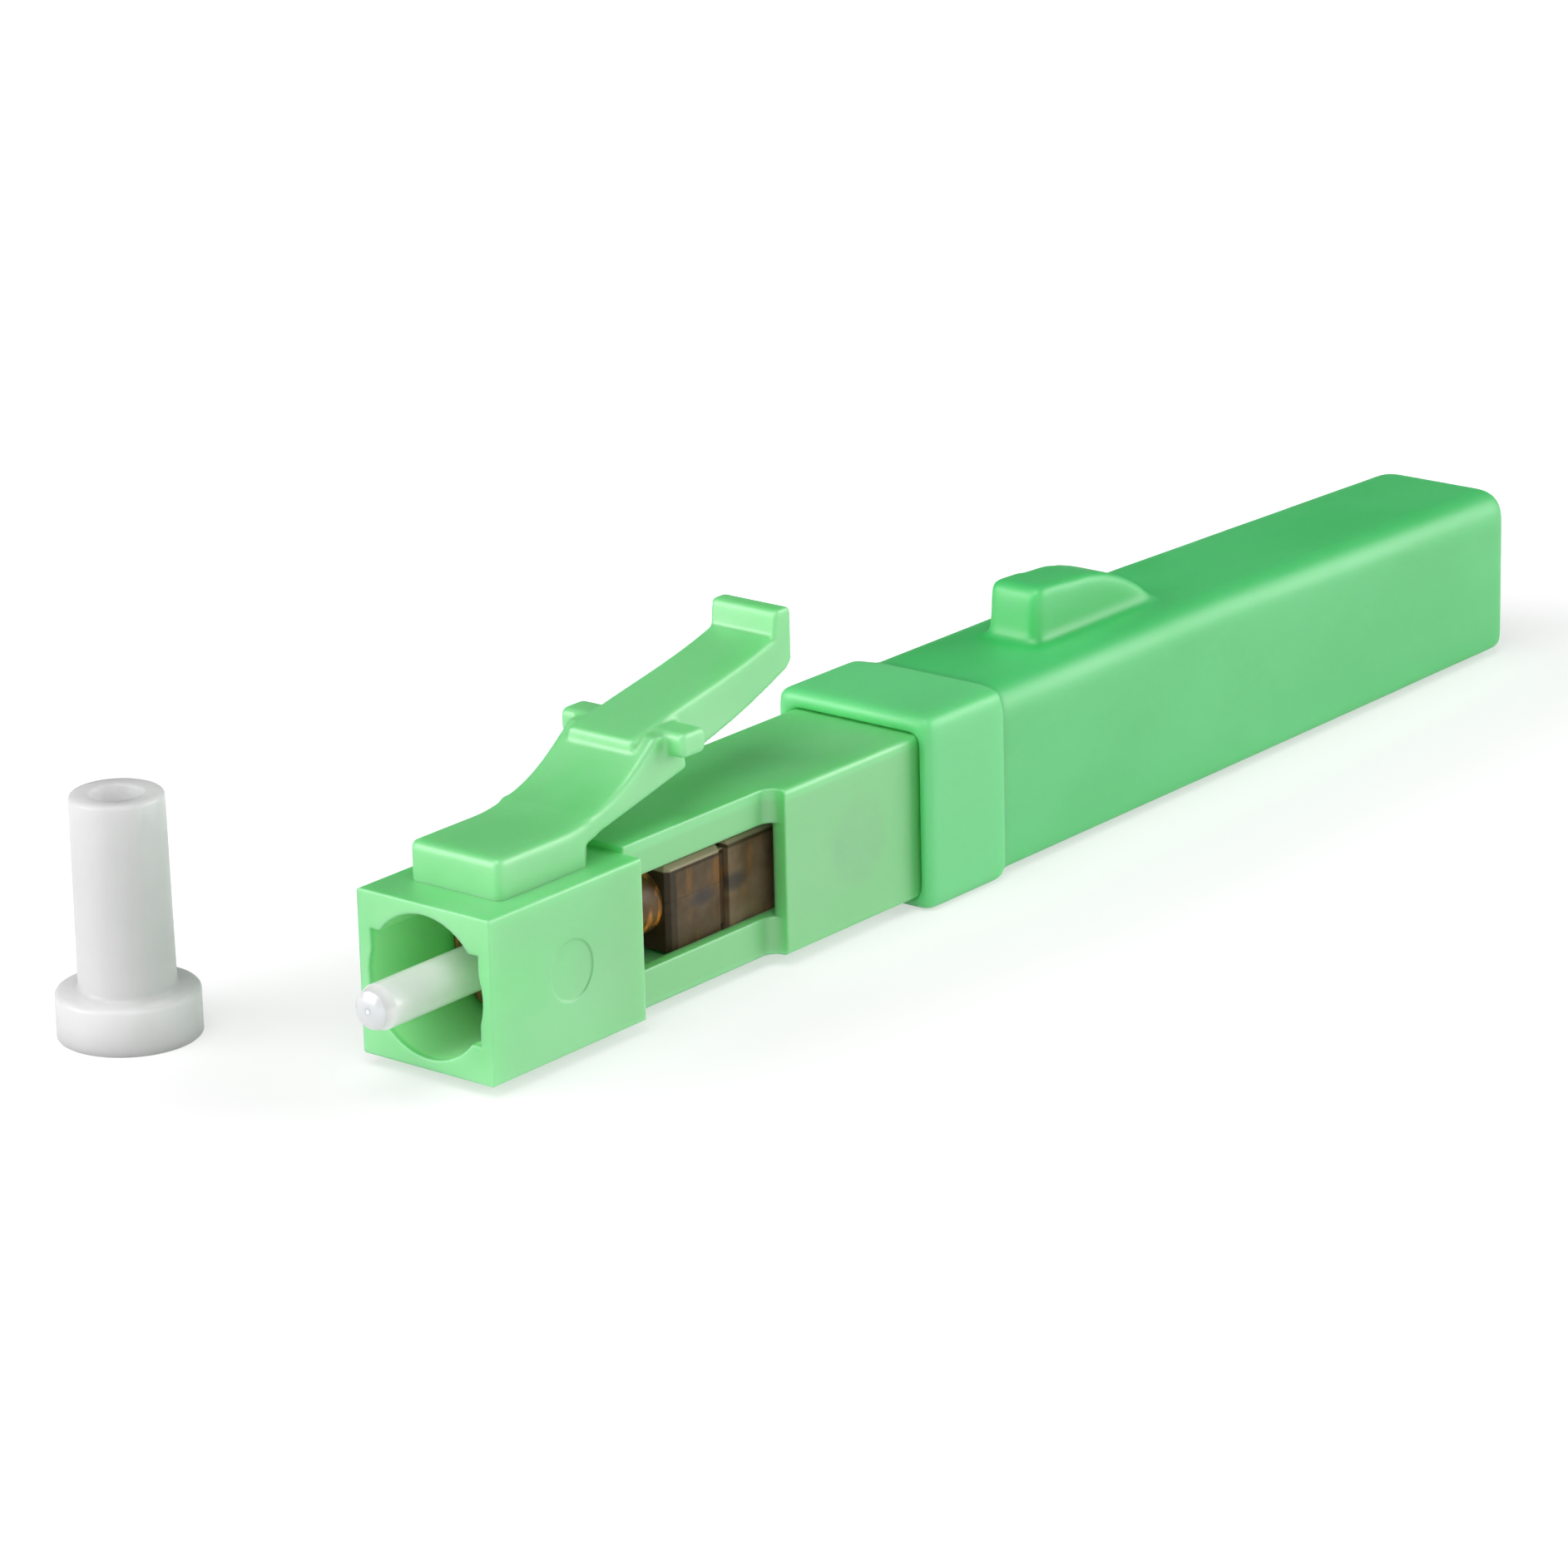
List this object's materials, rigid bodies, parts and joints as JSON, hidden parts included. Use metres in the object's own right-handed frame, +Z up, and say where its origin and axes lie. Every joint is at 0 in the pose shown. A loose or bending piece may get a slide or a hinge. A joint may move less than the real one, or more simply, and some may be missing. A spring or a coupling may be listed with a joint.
{
  "type": "field-installable fibre connector",
  "caption": "Square-nosed plug with a ferrule, a springy top latch, windowed waist, long tail tube with thumb tab, and a loose ferrule dust cap beside it.",
  "frame": {"origin": "centre of the plug nose's front face, on the ferrule's axis", "axes": "+X runs back along the ferrule's axis from the nose to the cable entry, +Z is up on the latch side, +Y is the plug's left side seen from behind"},
  "size_m": [0.0513, 0.0136, 0.0096],
  "materials": {
    "green_plastic": "translucent moulded green plastic",
    "green_plastic_tail": "translucent moulded green plastic, a little deeper",
    "zirconia": "polished white zirconia ceramic",
    "fibre_glass": "silica fibre",
    "amber_plastic": "translucent brown high-temperature plastic",
    "brown_plastic": "brown moulded plastic",
    "brown_plastic_lid": "brown moulded plastic, light on its top ledge",
    "brown_plastic_clamp": "brown moulded plastic",
    "spring_steel": "drawn spring wire",
    "frame_plastic": "tan moulded plastic",
    "guide_plastic": "clear moulded plastic",
    "jaw_plastic": "natural white moulded plastic",
    "cap_plastic": "translucent soft plastic"
  },
  "bodies": {
    "housing": {"front_housing": "green_plastic", "cable_frame": "frame_plastic", "fibre_guide": "guide_plastic", "jaw_lower": "jaw_plastic", "jaw_upper": "jaw_plastic", "ferrule_spring": "spring_steel", "dust_cap": "cap_plastic"},
    "latch": {"latch_arm": "green_plastic"},
    "ferrule_group": {"ferrule": "zirconia", "fibre_stub": "fibre_glass", "ferrule_flange": "amber_plastic", "splice_base": "brown_plastic", "splice_lid": "brown_plastic_lid", "clamp_sleeve": "brown_plastic_clamp"},
    "tail": {"tail_sleeve": "green_plastic_tail"}
  },
  "joints": [
    {"name": "latch_press", "type": "hinge", "parent": "housing", "child": "latch", "pos_m": [0.005, 0, 0.00322], "axis": [0, 1, 0], "range_deg": [0, 12], "stiffness_Nm_per_rad": 0.05},
    {"name": "ferrule_float", "type": "slide", "parent": "housing", "child": "ferrule_group", "axis": [1, 0, 0], "range_m": [0, 0.0006], "stiffness_N_per_m": 400, "deforming": ["ferrule_spring"]},
    {"name": "sleeve_slide", "type": "slide", "parent": "housing", "child": "tail", "axis": [1, 0, 0], "range_m": [0, 0.012]}
  ]
}
